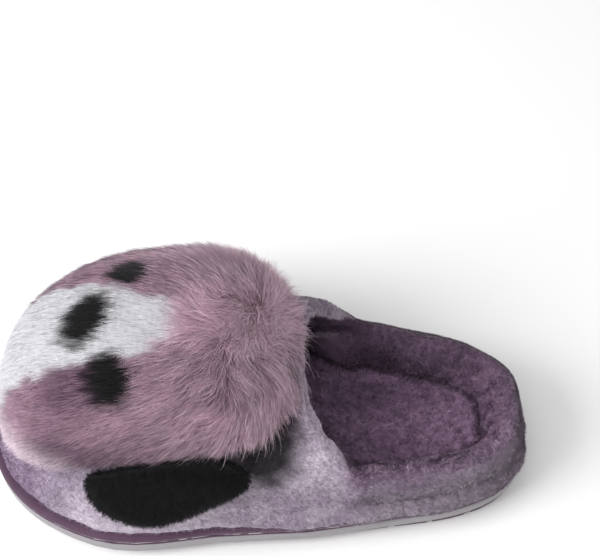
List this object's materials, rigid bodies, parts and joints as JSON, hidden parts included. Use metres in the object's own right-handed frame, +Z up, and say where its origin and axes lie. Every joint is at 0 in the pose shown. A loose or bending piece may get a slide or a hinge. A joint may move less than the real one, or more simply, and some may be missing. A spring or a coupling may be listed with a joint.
{
  "type": "fluffy house slipper",
  "caption": "Closed-toe mule slipper for the left foot with a padded collar, layered foam sole and a long-pile animal head with floppy ears on the vamp.",
  "frame": {"origin": "on the ground under the middle of the sole, halfway along it", "axes": "+Z up, +Y towards the heel, +X towards the outer (lateral) side of the foot"},
  "size_m": [0.1445, 0.272, 0.119],
  "materials": {
    "mauve_velour": "short brushed velour",
    "mauve_plush": "curly plush",
    "long_pile": "long combed pile, pink with white and black patches",
    "black_pile": "short black pile",
    "dark_foam": "matt moulded foam",
    "white_foam": "matt moulded foam",
    "inner_foam": "soft padding",
    "insole_board": "pressed fibre board",
    "thread": "polyester thread"
  },
  "bodies": {
    "slipper": {"outsole_tread": "dark_foam", "midsole_band": "white_foam", "sole_rim": "dark_foam", "sole_stitch": "thread", "insole_board": "insole_board", "footbed_foam": "inner_foam", "heel_band_outer": "mauve_velour", "heel_band_foam": "inner_foam", "heel_band_lining": "mauve_plush", "vamp_outer": "mauve_velour", "vamp_foam": "inner_foam", "vamp_lining": "mauve_plush", "vamp_edge_binding": "mauve_velour", "side_seam_tape_lateral": "mauve_velour", "side_seam_tape_medial": "mauve_velour", "footbed_cover": "mauve_plush", "head_fur_panel": "long_pile", "head_stuffing": "inner_foam", "ear_lateral_root": "black_pile", "ear_medial_root": "black_pile"},
    "ear_lateral": {"ear_lateral_pile": "black_pile", "ear_lateral_backing": "black_pile"},
    "ear_medial": {"ear_medial_pile": "black_pile", "ear_medial_backing": "black_pile"}
  },
  "joints": [
    {"name": "ear_lateral_hinge", "type": "hinge", "parent": "slipper", "child": "ear_lateral", "pos_m": [0.051, -0.048, 0.0755], "axis": [0.1001, -0.9656, -0.2401], "range_deg": [0, 70]},
    {"name": "ear_medial_hinge", "type": "hinge", "parent": "slipper", "child": "ear_medial", "pos_m": [-0.068, -0.046, 0.068], "axis": [0.1001, 0.9656, 0.2401], "range_deg": [0, 70]}
  ]
}
